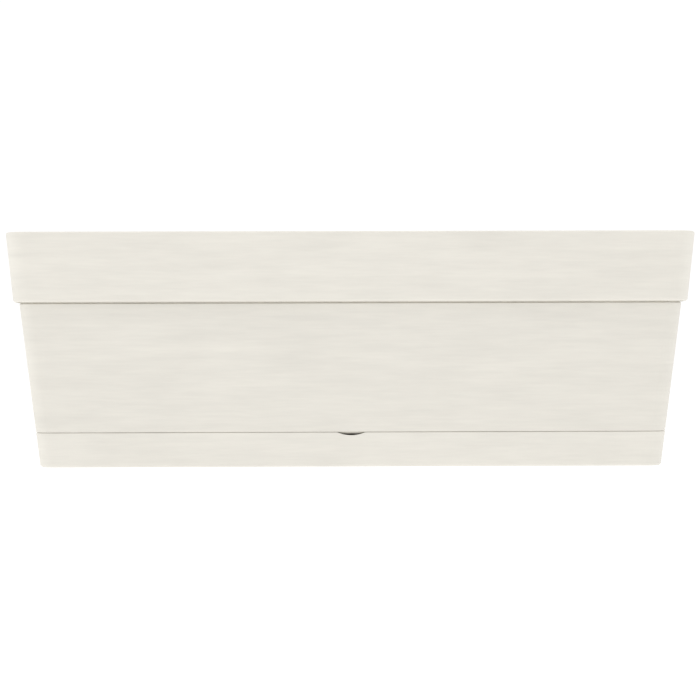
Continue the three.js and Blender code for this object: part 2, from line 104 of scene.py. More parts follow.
# Underside of the trough
SKIRT_INSET = 3.6 * MM
SKIRT_WALL = 2.2 * MM
SKIRT_BOTTOM = 17 * MM
RIB_DEPTH = 5 * MM
RIB_THICKNESS = 2 * MM
RIB_Y = 44 * MM
LEG_X = 256 * MM
LEG_Y = 61 * MM
LEG_RADIUS = 6.5 * MM
LEG_BORE = 4 * MM
LEG_BORE_TOP = 17.5 * MM
WALL_SLOTS = 8
SLOT_LENGTH = 18 * MM
SLOT_WIDTH = 3 * MM
SLOT_Y = 64 * MM
SLOT_BESIDE_RIB = 14 * MM

# Radii of the edges and corners
HAIR_EDGE = 0.2 * MM
FINE_EDGE = 0.3 * MM
EDGE = 0.5 * MM
SOFT_EDGE = 0.7 * MM
BLUNT_EDGE = 1 * MM
ROUND_EDGE = 1.5 * MM
LEDGE_FILLET = 2 * MM
FLOOR_FILLET = 3 * MM

# Tray
TRAY_EDGE = 3 * MM
TRAY_FLOOR_TOP = 3.6 * MM
TRAY_RECESS = 1.2 * MM
TRAY_RING = 24 * MM
NOTCH_WIDTH = 25 * MM
NOTCH_DEPTH = 2.75 * MM
GATE_WIDTH = 28 * MM
GATE_TOP = 29.3 * MM
PEG_RADIUS = 3.7 * MM
PEG_TOP = 15 * MM
PEG_SLIT = 1.2 * MM
PEG_SLIT_DEPTH = 8 * MM
BAFFLE_LENGTH = 64 * MM
BAFFLE_TOP = 7.6 * MM
DRAIN_HOLE = 6 * MM

# Wicking cups
CUP_TOP_RADIUS = 27.5 * MM
CUP_BOTTOM_RADIUS = 22 * MM
CUP_WALL = 1.8 * MM
CUP_SLOTS = 8
CUP_SLOT_HEIGHT = 18 * MM

# Filling tube, its hinge and its cap
TUBE_RADIUS = 16 * MM
TUBE_WALL = 1.8 * MM
TUBE_GATE_WIDTH = 9 * MM
TUBE_GATE_HEIGHT = 7 * MM
HINGE_RISE = 1.8 * MM
EAR_RADIUS = 3.4 * MM
EAR_WIDTH = 2.6 * MM
EAR_FOOT = 12 * MM
KNUCKLE_RADIUS = 3.2 * MM
KNUCKLE_HALF = 4.3 * MM
HINGE_SIDE_GAP = 0.4 * MM
PIN_RADIUS = 1.2 * MM
PIN_BORE = 1.3 * MM
CAP_OVERHANG = 0.8 * MM
CAP_THICKNESS = 2.4 * MM
SPIGOT_GAP = 1 * MM
SPIGOT_WALL = 1.6 * MM
SPIGOT_DEPTH = 3 * MM
ARM_OVERLAP = 2 * MM
CAP_RIM = 3 * MM
CAP_DISH = 0.6 * MM
TAB = 5 * MM
TAB_THICKNESS = 1.6 * MM
RIDGES = 3
RIDGE_RADIUS = 0.4 * MM
RIDGE_PITCH = 1.3 * MM

# Level indicator
SLEEVE_RADIUS = 10.6 * MM
SLEEVE_BORE = 9 * MM
SLEEVE_LEDGE = 6 * MM
SLEEVE_BASE = 1.6 * MM
SLEEVE_GATE = 5 * MM
SOCKET_RADIUS = 12 * MM
SOCKET_BORE = 10 * MM
SIGHT_BORE = 8.3 * MM
HUB_RADIUS = 3.6 * MM
GUIDE_DISC = 2 * MM
GUIDE_VENT = 1.5 * MM
GUIDE_VENT_AT = 5.6 * MM
FLOAT_HOLE_DEPTH = 8 * MM
TIP_OVERLAP = 6 * MM

# Drain plug
PLUG_SHANK = 5.7 * MM
PLUG_RIM = 1.7 * MM
PLUG_SHOULDER = 2.2 * MM
PLUG_WAIST = 4 * MM
PLUG_NECK = 2.8 * MM
PLUG_FLARE = 0.6 * MM
PLUG_KNOB = 4 * MM
PLUG_KNOB_EDGE = 1.2 * MM
GASKET_THICKNESS = 1.5 * MM

# Levels
SEAT = cups[0].high - FLANGE
FLOOR_TOP = SEAT - SEAT_GAP
TROUGH_BOTTOM = FLOOR_TOP - FLOOR_THICKNESS
RIM_BOTTOM = HEIGHT - BAND_HEIGHT
LEDGE_UNDER = RIM_BOTTOM + LIP_DEPTH
LEDGE_TOP = LEDGE_UNDER + WALL
MOUTH = HINGE_Z - HINGE_RISE
EAR_INSIDE = KNUCKLE_HALF + HINGE_SIDE_GAP

# ---- Facets -------------------------------------------------------------------------------------

CORNER_STEPS = 14
FILLET_STEPS = 5
SLOT_STEPS = 10
ROUND = 96
SMALL_ROUND = 48
NOTCH_SIDES = 288
EAR_STEPS = 18
SMOOTH_ANGLE = math.radians(32)


# ---- Mesh helpers -------------------------------------------------------------------------------


def new_object(name, mesh):
    made = bpy.data.objects.new(name, mesh)
    bpy.context.scene.collection.objects.link(made)
    return made


def mesh_from(name, verts, faces):
    mesh = bpy.data.meshes.new(name)
    mesh.from_pydata([tuple(v) for v in verts], [], faces)
    mesh.validate()
    return mesh


def rounded(points):
    """A polyline in which each (r, z, fillet) corner, save the first and last, becomes an arc."""
    out = [points[0][:2]]
    for before, corner, after in zip(points, points[1:], points[2:]):
        r, z, fillet = corner
        if fillet == 0:
            out.append((r, z))
            continue
        here = Vector((r, z))
        back = (Vector(before[:2]) - here).normalized()
        ahead = (Vector(after[:2]) - here).normalized()
        half = back.angle(ahead) / 2
        reach = fillet / math.tan(half)
        centre = here + (back + ahead).normalized() * (fillet / math.sin(half))
        start = here + back * reach - centre
        end = here + ahead * reach - centre
        turn = math.atan2(start.x * end.y - start.y * end.x, start.dot(end))
        for step in range(FILLET_STEPS + 1):
            angle = turn * step / FILLET_STEPS
            c, s = math.cos(angle), math.sin(angle)
            out.append((centre.x + start.x * c - start.y * s, centre.y + start.x * s + start.y * c))
    out.append(points[-1][:2])
    return out


def skin(name, rings, closed=False):
    """A quad skin through rings of equal length. closed joins the last ring to the first."""
    count = len(rings[0])
    verts = [p for ring in rings for p in ring]
    faces = []
    for level in range(len(rings) if closed else len(rings) - 1):
        low = level * count
        high = ((level + 1) % len(rings)) * count
        for j in range(count):
            k = (j + 1) % count
            faces.append((low + j, low + k, high + k, high + j))
    if not closed:
        faces.append(tuple(reversed(range(count))))
        faces.append(tuple(range((len(rings) - 1) * count, len(rings) * count)))
    return new_object(name, mesh_from(name, verts, faces))


def circle(radius, sides):
    angles = [2 * math.pi * j / sides for j in range(sides)]
    return [(radius * math.cos(a), radius * math.sin(a)) for a in angles]


def turned(name, profile, x, y, sides=ROUND):
    """A solid of revolution about an upright axis. A profile off the axis closes on itself."""
    on_axis = profile[0][0] == 0
    if on_axis:
        points = rounded(profile)[1:-1]
    else:
        points = rounded([profile[-1]] + profile + [profile[0]])[1:-1]
    rings = [[(x + px, y + py, z) for px, py in circle(r, sides)] for r, z in points]
    return skin(name, rings, closed=not on_axis)


def block(name, low, high):
    """A plain box between two corners."""
    corners = [(low[0], low[1]), (high[0], low[1]), (high[0], high[1]), (low[0], high[1])]
    return skin(name, [[(x, y, z) for x, y in corners] for z in (low[2], high[2])])


def post(name, radius, low, high, x, y, sides=SMALL_ROUND):
    """An upright cylinder."""
    return skin(name, [[(x + px, y + py, z) for px, py in circle(radius, sides)] for z in (low, high)])


def slab(name, shape, y_from, y_to):
    """A flat shape of (x, z) points, anticlockwise seen from the front, with a thickness along Y."""
    return skin(name, [[(x, y, z) for x, z in shape] for y in (y_to, y_from)])


def cross_pin(name, radius, y_from, y_to, x, z, sides=SMALL_ROUND):
    """A cylinder lying along Y."""
    return slab(name, [(x + px, z + pz) for px, pz in circle(radius, sides)], y_from, y_to)


def slot_cutter(length, width, depth, place):
    """A slot with round ends, length along its own X and depth along its own Z, moved to a place."""
    radius = width / 2
    straight = length / 2 - radius
    ring = []
    for end, first in ((1, -math.pi / 2), (-1, math.pi / 2)):
        for step in range(SLOT_STEPS + 1):
            angle = first + math.pi * step / SLOT_STEPS
            ring.append((end * straight + radius * math.cos(angle), radius * math.sin(angle)))
    cutter = skin("slot", [[(x, y, z) for x, y in ring] for z in (0, depth)])
    cutter.data.transform(place)
    return cutter


def radial_slots(x, y, z, count, length, width, inner, outer, first_turn):
    """Upright slots through a round wall about (x, y), from the inner to the outer radius."""
    upended = Matrix.Translation((inner, 0, 0)) @ Matrix.Rotation(math.pi / 2, 4, "Y")
    places = [Matrix.Rotation(first_turn + 2 * math.pi * i / count, 4, "Z") for i in range(count)]
    return [slot_cutter(length, width, outer - inner, Matrix.Translation((x, y, z)) @ turn @ upended)
            for turn in places]


def bake_modifiers(piece):
    """The piece's evaluated mesh takes the place of its mesh and modifiers."""
    graph = bpy.context.evaluated_depsgraph_get()
    mesh = bpy.data.meshes.new_from_object(piece.evaluated_get(graph))
    piece.modifiers.clear()
    piece.data = mesh


def soften(piece, radius):
    """Rounds the sharp edges of a plain solid."""
    bevel = piece.modifiers.new("round", "BEVEL")
    bevel.width = radius
    bevel.segments = 3
    bevel.limit_method = "ANGLE"
    bake_modifiers(piece)
    return piece


def combine(piece, operation, others):
    """Boolean of piece with others that do not touch each other; the others are used up."""
    bm = bmesh.new()
    for other in others:
        bm.from_mesh(other.data)
        bpy.data.objects.remove(other)
    mesh = bpy.data.meshes.new("tool")
    bm.to_mesh(mesh)
    bm.free()
    tool = new_object("tool", mesh)
    modifier = piece.modifiers.new("combine", "BOOLEAN")
    modifier.operation = operation
    modifier.object = tool
    modifier.solver = "EXACT"
    bake_modifiers(piece)
    bpy.data.objects.remove(tool)


def join(piece, *others):
    combine(piece, "UNION", others)


def cut(piece, *others):
    combine(piece, "DIFFERENCE", others)


def finish_piece(piece, slot, body, node):
    """Shading, material and the calls that put a piece in place of its CAD node."""
    mesh = piece.data
    mesh.materials.clear()
    mesh.materials.append(looks[slot])
    mesh.shade_smooth()
    mesh.set_sharp_from_angle(angle=SMOOTH_ANGLE)
    weights = piece.modifiers.new("weighted normals", "WEIGHTED_NORMAL")
    weights.keep_sharp = True
    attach(piece, body)
    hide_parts(node)


# ---- Outline shared by the trough and the tray -----------------------------------------------------


def rim_half(z):
    """Half of the band's outside length at height z."""
    return HALF_LENGTH - (HEIGHT - TOP_CHAMFER - z) * RIM_SLOPE


WALL_AT_BAND = rim_half(RIM_BOTTOM) - RIM_STEP
BODY_SLOPE = (WALL_AT_BAND - tray_high[0]) / (RIM_BOTTOM - TRAY_TOP)


def wall_half(z):
    """Half of the outside length of the walls below the band at height z."""
    return WALL_AT_BAND - (RIM_BOTTOM - z) * BODY_SLOPE


def corner_centre(z):
    """Where the upright corners' centres lie along the length, at height z."""
    if z > RIM_BOTTOM:
        return rim_half(z) - RIM_STEP - CORNER_RADIUS
    return wall_half(z) - CORNER_RADIUS


def outline(half, z):
    """A rounded rectangle at height z, anticlockwise from above, all round at the same inset."""
    radius = max(half - corner_centre(z), SMALLEST_RADIUS)
    half_width = half - LENGTH_OVER_WIDTH
    ring = []
    for corner in range(4):
        sx = 1 if corner in (0, 3) else -1
        sy = 1 if corner < 2 else -1
        for step in range(CORNER_STEPS + 1):
            angle = (corner + step / CORNER_STEPS) * math.pi / 2
            x = sx * (half - radius) + radius * math.cos(angle)
            y = sy * (half_width - radius) + radius * math.sin(angle)
            ring.append((x, y, z))
    return ring


def moulding(name, profile):
    return skin(name, [outline(half, z) for half, z in rounded(profile)])


# ---- Materials ----------------------------------------------------------------------------------


def start_material(name, colour, roughness):
    """A principled material, with its tree and shader to build on."""
    material = bpy.data.materials.new(f"{name}_look")
    material.use_nodes = True
    tree = material.node_tree
    shader = tree.nodes["Principled BSDF"]
    shader.inputs["Base Color"].default_value = (*colour, 1)
    shader.inputs["Roughness"].default_value = roughness
    return material, tree, shader


def noise(tree, scale, detail=3.0, roughness=0.55):
    """Noise in the piece's own coordinates. scale is features per metre along X, Y and Z."""
    place = tree.nodes.new("ShaderNodeTexCoord")
    stretch = tree.nodes.new("ShaderNodeMapping")
    stretch.inputs["Scale"].default_value = scale
    texture = tree.nodes.new("ShaderNodeTexNoise")
    texture.inputs["Scale"].default_value = 1.0
    texture.inputs["Detail"].default_value = detail
    texture.inputs["Roughness"].default_value = roughness
    tree.links.new(place.outputs["Object"], stretch.inputs["Vector"])
    tree.links.new(stretch.outputs["Vector"], texture.inputs["Vector"])
    return texture.outputs["Fac"]


def height_in_piece(tree):
    place = tree.nodes.new("ShaderNodeTexCoord")
    split = tree.nodes.new("ShaderNodeSeparateXYZ")
    tree.links.new(place.outputs["Object"], split.inputs["Vector"])
    return split.outputs["Z"]


def spread(tree, value, low, high, from_low=0.3, from_high=0.7):
    """value, mostly between from_low and from_high, laid out between low and high."""
    node = tree.nodes.new("ShaderNodeMapRange")
    node.inputs["From Min"].default_value = from_low
    node.inputs["From Max"].default_value = from_high
    node.inputs["To Min"].default_value = low
    node.inputs["To Max"].default_value = high
    tree.links.new(value, node.inputs["Value"])
    return node.outputs["Result"]


def mixture(tree, parts):
    """The weighted sum of several values, from (value, weight) pairs."""
    total = None
    for value, weight in parts:
        node = tree.nodes.new("ShaderNodeMath")
        node.operation = "MULTIPLY_ADD"
        tree.links.new(value, node.inputs[0])
        node.inputs[1].default_value = weight
        node.inputs[2].default_value = 0
        if total is not None:
            tree.links.new(total, node.inputs[2])
        total = node.outputs["Value"]
    return total


def blend_colours(tree, factor, dark, light):
    node = tree.nodes.new("ShaderNodeMix")
    node.data_type = "RGBA"
    node.inputs["A"].default_value = (*dark, 1)
    node.inputs["B"].default_value = (*light, 1)
    tree.links.new(factor, node.inputs["Factor"])
    return node.outputs["Result"]


def bump(tree, shader, height, distance, strength=1.0):
    node = tree.nodes.new("ShaderNodeBump")
    node.inputs["Distance"].default_value = distance
    node.inputs["Strength"].default_value = strength
    tree.links.new(height, node.inputs["Height"])
    tree.links.new(node.outputs["Normal"], shader.inputs["Normal"])


def shade(colour, factor):
    return tuple(min(channel * factor, 1.0) for channel in colour)


CREAM = (0.807, 0.778, 0.708)
CREAM_CONTRAST = 0.06
# How much darker the walls between band and tray are painted: painted shade under the band.
WALL_PAINTED_SHADE = 0.016
WIDE_STREAKS = (13, 13, 130)
FINE_STREAKS = (38, 38, 420)
STREAK_DEPTH = 0.06 * MM
CREAM_CLOUDS = (16, 16, 36)


def cream_plastic():
    """Moulded plastic with faint streaks along the length, and painted shade that makes the walls between
    band and tray a touch darker.
    """
    material, tree, shader = start_material("cream_plastic", CREAM, 0.5)
    wide = noise(tree, WIDE_STREAKS)
    fine = noise(tree, FINE_STREAKS, detail=2.0)
    cloud = noise(tree, CREAM_CLOUDS, detail=2.0)
    streaks = mixture(tree, [(wide, 0.6), (fine, 0.4)])
    z = height_in_piece(tree)
    above_tray = spread(tree, z, 0, 1, TRAY_TOP, TROUGH_BOTTOM)
    above_band = spread(tree, z, 0, 1, RIM_BOTTOM - MM, RIM_BOTTOM)
    # The walls between band and tray are painted a touch darker: painted shade under the band, mixed into
    # the streaks and clouding.
    wall = WALL_PAINTED_SHADE / (4 * CREAM_CONTRAST)
    mottling_and_painted_shade = mixture(tree, [(streaks, 0.7), (cloud, 0.3), (above_tray, -wall), (above_band, wall)])
    dark, light = shade(CREAM, 1 - CREAM_CONTRAST), shade(CREAM, 1 + CREAM_CONTRAST)
    colour = blend_colours(tree, spread(tree, mottling_and_painted_shade, 0, 1), dark, light)
    tree.links.new(colour, shader.inputs["Base Color"])
    tree.links.new(spread(tree, streaks, 0.42, 0.58), shader.inputs["Roughness"])
    bump(tree, shader, streaks, STREAK_DEPTH, 0.5)
    return material


def grained_plastic(name, colour, roughness, grain, depth):
    """Moulded plastic with a spark-eroded grain and slight clouding."""
    material, tree, shader = start_material(name, colour, roughness)
    cloud = noise(tree, (40, 40, 40))
    fine = noise(tree, (grain, grain, grain), detail=4.0)
    both = mixture(tree, [(cloud, 0.6), (fine, 0.4)])
    colours = blend_colours(tree, spread(tree, both, 0, 1), shade(colour, 0.86), shade(colour, 1.14))
    tree.links.new(colours, shader.inputs["Base Color"])
    tree.links.new(spread(tree, both, roughness - 0.08, roughness + 0.08), shader.inputs["Roughness"])
    bump(tree, shader, fine, depth)
    return material


def clear_plastic():
    """Clear acrylic tube, faintly drawn along its length."""
    material, tree, shader = start_material("clear_plastic", (0.93, 0.97, 0.97), 0.05)
    shader.inputs["Transmission Weight"].default_value = 1.0
    shader.inputs["IOR"].default_value = 1.3
    drawn = noise(tree, (900, 900, 12))
    colours = blend_colours(tree, spread(tree, drawn, 0, 1), (0.9, 0.95, 0.95), (0.96, 0.99, 0.99))
    tree.links.new(colours, shader.inputs["Base Color"])
    tree.links.new(spread(tree, drawn, 0.02, 0.1), shader.inputs["Roughness"])
    return material


def white_foam():
    """Closed-cell float foam."""
    colour = (0.86, 0.85, 0.82)
    material, tree, shader = start_material("white_foam", colour, 0.9)
    place = tree.nodes.new("ShaderNodeTexCoord")
    cells = tree.nodes.new("ShaderNodeTexVoronoi")
    cells.inputs["Scale"].default_value = 900
    tree.links.new(place.outputs["Object"], cells.inputs["Vector"])
    distance = cells.outputs["Distance"]
    colours = blend_colours(tree, spread(tree, distance, 1, 0, 0, 0.8), shade(colour, 0.88), colour)
    tree.links.new(colours, shader.inputs["Base Color"])
    bump(tree, shader, distance, 0.15 * MM)
    return material


def drawn_steel():
    """Steel wire with fine marks along it."""
    colour = (0.6, 0.6, 0.61)
    material, tree, shader = start_material("steel", colour, 0.3)
    shader.inputs["Metallic"].default_value = 1.0
    marks = noise(tree, (2500, 120, 2500), detail=4.0)
    colours = blend_colours(tree, spread(tree, marks, 0, 1), shade(colour, 0.85), shade(colour, 1.1))
    tree.links.new(colours, shader.inputs["Base Color"])
    tree.links.new(spread(tree, marks, 0.22, 0.42), shader.inputs["Roughness"])
    return material


# One material for each of the record's material slots.
looks = {
    "cream_plastic": cream_plastic(),
    "dark_plastic": grained_plastic("dark_plastic", (0.045, 0.048, 0.047), 0.5, 1400, 0.05 * MM),
    "grey_plastic": grained_plastic("grey_plastic", (0.48, 0.475, 0.445), 0.42, 1800, 0.02 * MM),
    "clear_plastic": clear_plastic(),
    "white_foam": white_foam(),
    "white_plastic": grained_plastic("white_plastic", (0.8, 0.8, 0.78), 0.3, 2200, 0.01 * MM),
    "red_plastic": grained_plastic("red_plastic", (0.56, 0.02, 0.012), 0.3, 2200, 0.01 * MM),
    "black_rubber": grained_plastic("black_rubber", (0.02, 0.02, 0.021), 0.75, 1200, 0.05 * MM),
    "steel": drawn_steel(),
}


# ---- Trough -------------------------------------------------------------------------------------

CUP_PITCH = cups[1].x - cups[0].x
rib_xs = (-CUP_PITCH, CUP_PITCH)
leg_spots = [(x, y) for x in (-LEG_X, *rib_xs, LEG_X) for y in (-LEG_Y, LEG_Y)]

# Drain slots lie along both long walls and between the cups.
slot_xs = [(i - (WALL_SLOTS - 1) / 2) * CUP_PITCH / 2 for i in range(WALL_SLOTS)]
drain_spots = [(x, y) for x in slot_xs for y in (-SLOT_Y, SLOT_Y)]
drain_spots += [(i * CUP_PITCH + side * SLOT_BESIDE_RIB, 0) for i in (-1, 0, 1) for side in (-1, 1)]


def trough_shell():
    skirt_in = SKIRT_INSET + SKIRT_WALL
    groove = RIM_BOTTOM - GROOVE_HEIGHT
    return moulding("trough", [
        (wall_half(TROUGH_BOTTOM) - skirt_in, TROUGH_BOTTOM, 0),
        (wall_half(SKIRT_BOTTOM) - skirt_in, SKIRT_BOTTOM, EDGE),
        (wall_half(SKIRT_BOTTOM) - SKIRT_INSET, SKIRT_BOTTOM, EDGE),
        (wall_half(TROUGH_BOTTOM) - SKIRT_INSET, TROUGH_BOTTOM, FINE_EDGE),
        (wall_half(TROUGH_BOTTOM), TROUGH_BOTTOM, SEAM_ROUND),
        (wall_half(groove), groove, EDGE),
        (wall_half(groove) - GROOVE_DEPTH, groove + 0.4 * GROOVE_HEIGHT, FINE_EDGE),
        (wall_half(LEDGE_UNDER) - GROOVE_DEPTH, LEDGE_UNDER, EDGE),
        (rim_half(LEDGE_UNDER) - RIM_WALL, LEDGE_UNDER, EDGE),
        (rim_half(RIM_BOTTOM) - RIM_WALL, RIM_BOTTOM, HAIR_EDGE),
        (rim_half(RIM_BOTTOM), RIM_BOTTOM, BAND_EDGE),
        (rim_half(HEIGHT - TOP_CHAMFER), HEIGHT, TOP_ROUND),
        (rim_half(HEIGHT - TOP_CHAMFER) - RIM_WALL, HEIGHT, EDGE),
        (rim_half(LEDGE_TOP) - RIM_WALL, LEDGE_TOP, LEDGE_FILLET),
        (wall_half(LEDGE_TOP) - WALL, LEDGE_TOP, BLUNT_EDGE),
        (wall_half(FLOOR_TOP) - WALL, FLOOR_TOP, FLOOR_FILLET),
        (wall_half(FLOOR_TOP) - WALL - FLOOR_MARGIN, FLOOR_TOP, 0),
    ])


def floor_ribs():
    """Ribs along and across under the floor, which end inside the skirt's wall."""
    low = TROUGH_BOTTOM - RIB_DEPTH
    high = TROUGH_BOTTOM + FLOOR_THICKNESS / 2
    half_length = wall_half(low) - SKIRT_INSET - SKIRT_WALL / 2
    half_width = half_length - LENGTH_OVER_WIDTH
    half = RIB_THICKNESS / 2
    along = [
        block("rib", (-half_length, y - half, low), (half_length, y + half, high))
        for y in (-RIB_Y, RIB_Y)
    ]
    across = [
        block("rib", (x - half, -half_width, low), (x + half, half_width, high))
        for x in rib_xs
    ]
    return along, across


def floor_hole(radius, spot):
    low = TROUGH_BOTTOM - RIB_DEPTH - MM
    return post("hole", radius + HOLE_GAP, low, FLOOR_TOP + MM, spot.x, spot.y, ROUND)


def drain_slot(x, y):
    place = Matrix.Translation((x, y, TROUGH_BOTTOM - MM))
    return slot_cutter(SLOT_LENGTH, SLOT_WIDTH, FLOOR_THICKNESS + 2 * MM, place)


def overflow_gate():
    """The opening in the front of the skirt, behind the tray's notch."""
    front = wall_half(TRAY_TOP) - LENGTH_OVER_WIDTH - SKIRT_INSET - SKIRT_WALL / 2
    low = (-GATE_WIDTH / 2, -front - 2 * SKIRT_WALL, SKIRT_BOTTOM - MM)
    high = (GATE_WIDTH / 2, -front + 2 * SKIRT_WALL, GATE_TOP)
    return block("gate", low, high)


def trough():
    piece = trough_shell()
    along, across = floor_ribs()
    join(piece, *along)
    join(piece, *across)
    leg_top = TROUGH_BOTTOM + FLOOR_THICKNESS / 2
    join(piece, *[post("leg", LEG_RADIUS, LEG_FOOT, leg_top, x, y) for x, y in leg_spots])
    cut(
        piece,
        *[floor_hole(CUP_TOP_RADIUS, cup) for cup in cups],
        floor_hole(TUBE_RADIUS, tube),
        floor_hole(SLEEVE_RADIUS, sleeve),
        *[drain_slot(x, y) for x, y in drain_spots],
        *[post("bore", LEG_BORE, 0, LEG_BORE_TOP, x, y) for x, y in leg_spots],
        overflow_gate(),
    )
    finish_piece(piece, "cream_plastic", "box", "planter_box")


# ---- Tray ---------------------------------------------------------------------------------------


def tray_shell():
    return moulding("tray", [
        (wall_half(TRAY_RECESS) - TRAY_RING - FLOOR_MARGIN, TRAY_RECESS, 0),
        (wall_half(TRAY_RECESS) - TRAY_RING, TRAY_RECESS, EDGE),
        (wall_half(0) - TRAY_RING, 0, EDGE),
        (wall_half(0), 0, TRAY_EDGE),
        (wall_half(TRAY_TOP), TRAY_TOP, SEAM_ROUND),
        (wall_half(TRAY_TOP) - WALL, TRAY_TOP, EDGE),
        (wall_half(TRAY_FLOOR_TOP) - WALL, TRAY_FLOOR_TOP, FLOOR_FILLET),
        (wall_half(TRAY_FLOOR_TOP) - WALL - FLOOR_MARGIN, TRAY_FLOOR_TOP, 0),
    ])


def tray_peg(x, y):
    """A split peg that grips the bore of one of the trough's legs."""
    peg = turned("peg", [
        (0, TRAY_FLOOR_TOP - MM, 0),
        (PEG_RADIUS, TRAY_FLOOR_TOP - MM, 0),
        (PEG_RADIUS, PEG_TOP, BLUNT_EDGE),
        (0, PEG_TOP, 0),
    ], x, y, SMALL_ROUND)
    cut(peg, block("slit", (x - PEG_SLIT / 2, y - 2 * PEG_RADIUS, PEG_TOP - PEG_SLIT_DEPTH),
                   (x + PEG_SLIT / 2, y + 2 * PEG_RADIUS, PEG_TOP + MM)))
    return peg


def baffle(x):
    low = (x - RIB_THICKNESS / 2, -BAFFLE_LENGTH / 2, TRAY_FLOOR_TOP - MM)
    return soften(block("baffle", low, (x + RIB_THICKNESS / 2, BAFFLE_LENGTH / 2, BAFFLE_TOP)), EDGE)


def overflow_notch():
    """A shallow arc cut from the top edge of the tray's front wall."""
    arc = (NOTCH_WIDTH ** 2 / 4 + NOTCH_DEPTH ** 2) / (2 * NOTCH_DEPTH)
    front = wall_half(TRAY_TOP) - LENGTH_OVER_WIDTH
    centre = TRAY_TOP - NOTCH_DEPTH + arc
    return cross_pin("notch", arc, -front - 3 * WALL, -front + 3 * WALL, 0, centre, NOTCH_SIDES)


def tray():
    piece = tray_shell()
    join(piece, *[tray_peg(x, y) for x, y in leg_spots])
    join(piece, *[baffle(x) for x in rib_xs])
    cut(piece, overflow_notch(), post("drain", DRAIN_HOLE, -MM, TRAY_FLOOR_TOP + MM, 0, 0))
    finish_piece(piece, "cream_plastic", "tray", "reservoir_tray")


# ---- Drain plug ---------------------------------------------------------------------------------


def drain_plug():
    plug = upright("drain_plug")
    seat = TRAY_FLOOR_TOP + GASKET_THICKNESS + 2 * SEAT_GAP
    piece = turned("plug", [
        (0, plug.low, 0),
        (PLUG_SHANK, plug.low, SOFT_EDGE),
        (PLUG_SHANK, seat, HAIR_EDGE),
        (plug.radius, seat, FINE_EDGE),
        (plug.radius, seat + PLUG_RIM, SOFT_EDGE),
        (PLUG_NECK + PLUG_FLARE, seat + PLUG_SHOULDER, SOFT_EDGE),
        (PLUG_NECK, seat + PLUG_WAIST, ROUND_EDGE),
        (PLUG_KNOB, plug.high - PLUG_KNOB_EDGE, EDGE),
        (PLUG_KNOB - EDGE, plug.high, SOFT_EDGE),
        (0, plug.high, 0),
    ], plug.x, plug.y)
    finish_piece(piece, "dark_plastic", "plug", "drain_plug")


def plug_gasket():
    gasket = upright("plug_gasket")
    inner = DRAIN_HOLE + SEAT_GAP
    piece = turned("gasket", [
        (inner, gasket.low, EDGE),
        (gasket.radius, gasket.low, EDGE),
        (gasket.radius, gasket.high, EDGE),
        (inner, gasket.high, EDGE),
    ], gasket.x, gasket.y)
    finish_piece(piece, "black_rubber", "plug", "plug_gasket")


# ---- Wicking cups -------------------------------------------------------------------------------


def wicking_cup(number, cup):
    """A slotted cup that hangs from its flange into the water."""
    inside_bottom = cup.low + CUP_WALL
    piece = turned(f"cup_{number}", [
        (0, cup.low, 0),
        (CUP_BOTTOM_RADIUS, cup.low, ROUND_EDGE),
        (CUP_TOP_RADIUS, SEAT, EDGE),
        (cup.radius, SEAT, EDGE),
        (cup.radius, cup.high, SOFT_EDGE),
        (CUP_TOP_RADIUS - CUP_WALL, cup.high, BLUNT_EDGE),
        (CUP_BOTTOM_RADIUS - CUP_WALL, inside_bottom, LEDGE_FILLET),
        (0, inside_bottom, 0),
    ], cup.x, cup.y)
    middle = inside_bottom - MM + CUP_SLOT_HEIGHT / 2
    half_step = math.pi / CUP_SLOTS
    cut(piece, *radial_slots(cup.x, cup.y, middle, CUP_SLOTS, CUP_SLOT_HEIGHT, SLOT_WIDTH,
                             CUP_BOTTOM_RADIUS / 2, cup.radius, half_step))
    finish_piece(piece, "dark_plastic", f"cup_{number}", f"wicking_cup_{number}")


# ---- Filling tube -------------------------------------------------------------------------------


def hinge_ear(side):
    """An upright plate with a round head about the hinge pin, on one side of the knuckle."""
    inside = tube.x + TUBE_RADIUS - TUBE_WALL / 2
    shape = [(inside, MOUTH - EAR_FOOT)]
    for step in range(EAR_STEPS + 1):
        angle = math.pi * (1.25 * step / EAR_STEPS - 0.25)
        shape.append((HINGE_X + EAR_RADIUS * math.cos(angle), HINGE_Z + EAR_RADIUS * math.sin(angle)))
    shape += [(HINGE_X - EAR_RADIUS, MOUTH), (inside, MOUTH)]
    y_from = tube.y + (EAR_INSIDE if side > 0 else -EAR_INSIDE - EAR_WIDTH)
    return soften(slab("ear", shape, y_from, y_from + EAR_WIDTH), FINE_EDGE)


def fill_tube():
    piece = turned("tube", [
        (TUBE_RADIUS - TUBE_WALL, tube.low, FINE_EDGE),
        (TUBE_RADIUS, tube.low, EDGE),
        (TUBE_RADIUS, SEAT, FINE_EDGE),
        (tube.radius, SEAT, FINE_EDGE),
        (tube.radius, SEAT + FLANGE, SOFT_EDGE),
        (TUBE_RADIUS, SEAT + FLANGE, BLUNT_EDGE),
        (TUBE_RADIUS, MOUTH, EDGE),
        (TUBE_RADIUS - TUBE_WALL, MOUTH, EDGE),
    ], tube.x, tube.y)
    join(piece, hinge_ear(-1), hinge_ear(1))
    gates = radial_slots(tube.x, tube.y, tube.low, 4, 2 * TUBE_GATE_HEIGHT, TUBE_GATE_WIDTH,
                         TUBE_RADIUS / 2, tube.radius, 0)
    bore = cross_pin("bore", PIN_BORE, tube.y - TUBE_RADIUS, tube.y + TUBE_RADIUS, HINGE_X, HINGE_Z)
    cut(piece, *gates, bore)
    finish_piece(piece, "grey_plastic", "tube", "fill_tube")


def cap_lid():
    """The cap's disc, with a shallow dish in its top."""
    under = MOUTH + SEAT_GAP
    top = under + CAP_THICKNESS
    edge = TUBE_RADIUS + CAP_OVERHANG
    return turned("lid", [
        (0, under, 0),
        (edge, under, FINE_EDGE),
        (edge, top, BLUNT_EDGE),
        (edge - CAP_RIM, top, FINE_EDGE),
        (edge - CAP_RIM - CAP_DISH, top - CAP_DISH, FINE_EDGE),
        (0, top - CAP_DISH, 0),
    ], tube.x, tube.y)


